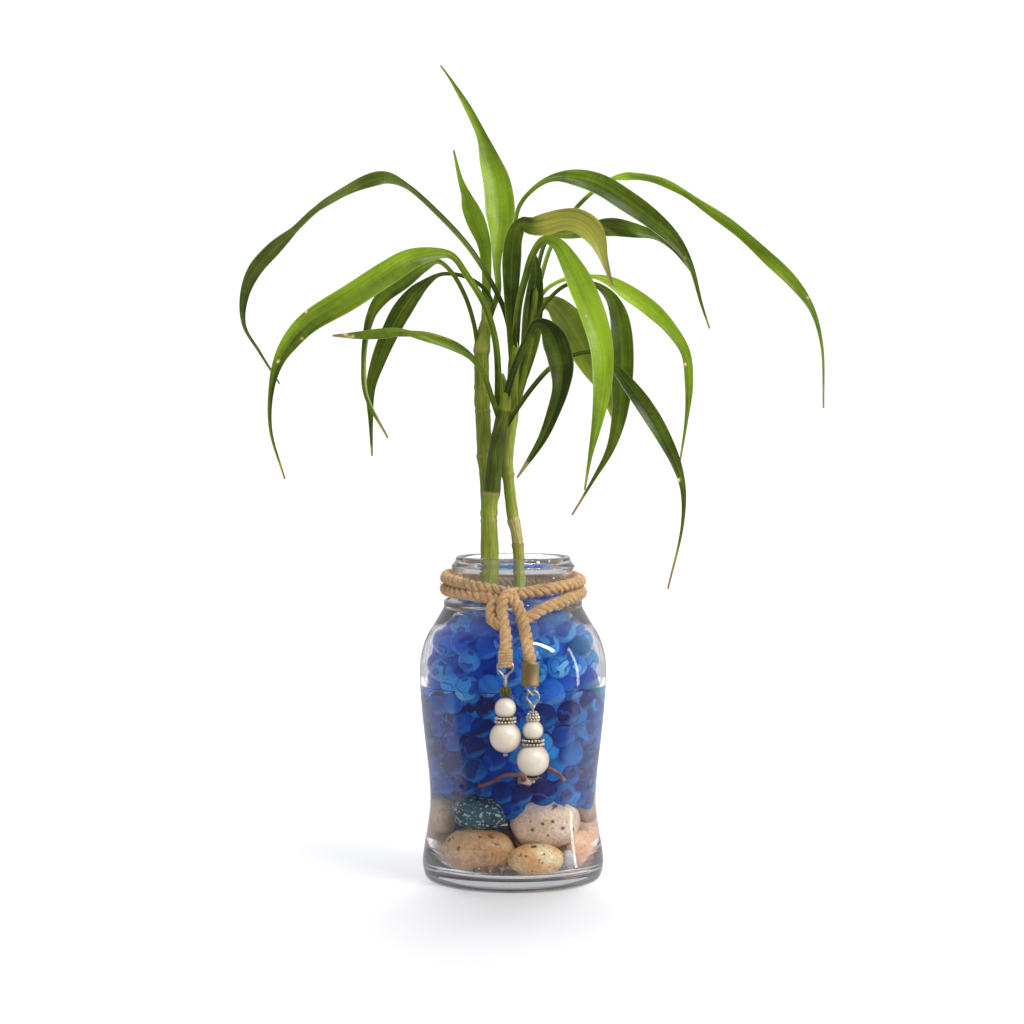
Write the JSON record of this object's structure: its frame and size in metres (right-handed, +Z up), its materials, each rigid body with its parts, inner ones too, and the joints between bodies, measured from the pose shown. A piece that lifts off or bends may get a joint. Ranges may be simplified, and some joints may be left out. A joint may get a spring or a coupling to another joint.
{
  "type": "lucky bamboo in a glass jar",
  "caption": "Lucky bamboo: leafy canes standing in a glass jar of pebbles, water and swollen water beads, with a jute cord knotted round the neck and pearl charms on its ends.",
  "frame": {"origin": "centre of the jar's flat underside, on the jar's axis", "axes": "+Z up along the jar's axis, -Y towards the front with the cord's knot and charms, +X to the right as seen from the front"},
  "size_m": [0.2952, 0.1374, 0.4108],
  "materials": {
    "glass": "clear polished glass",
    "water": "clear water",
    "water_beads": "wet glossy gel beads, blue, azure, violet-blue and a few green",
    "pebble": "worn river pebble, matt, tan, cream, salmon, brown and dark green ones",
    "leaf": "smooth leaf with a soft gloss, yellowing at some tips and edges",
    "jute": "twisted three-strand jute, fuzzy",
    "wire": "dull silver-coloured wire",
    "brass": "aged satin brass",
    "old_silver": "antiqued silver with dark hollows",
    "crystal": "faceted olive-green glass",
    "pearl": "cream imitation pearl with a soft lustre"
  },
  "bodies": {
    "root": {"jar": "glass", "pebble_1": "pebble", "pebble_2": "pebble", "pebble_3": "pebble", "pebble_4": "pebble", "pebble_5": "pebble", "pebble_6": "pebble", "pebble_7": "pebble", "pebble_8": "pebble", "pebble_9": "pebble", "pebble_10": "pebble", "pebble_11": "pebble", "pebble_12": "pebble", "pebble_13": "pebble", "pebble_14": "pebble", "grit_1": "pebble", "grit_2": "pebble", "grit_3": "pebble", "water": "water", "water_beads": "water_beads", "leafy_cane_left": "leaf", "leafy_cane_front": "leaf", "leafy_cane_right": "leaf", "neck_cord": "jute", "left_charm_wire": "wire", "left_charm_crystal": "crystal", "left_charm_small_pearl": "pearl", "left_charm_ring": "old_silver", "left_charm_large_pearl": "pearl", "right_charm_tube": "brass", "right_charm_link": "wire", "right_charm_pin": "wire", "right_charm_cap": "old_silver", "right_charm_small_pearl": "pearl", "right_charm_ring": "old_silver", "right_charm_large_pearl": "pearl", "right_charm_end_cap": "old_silver"}
  },
  "joints": []
}
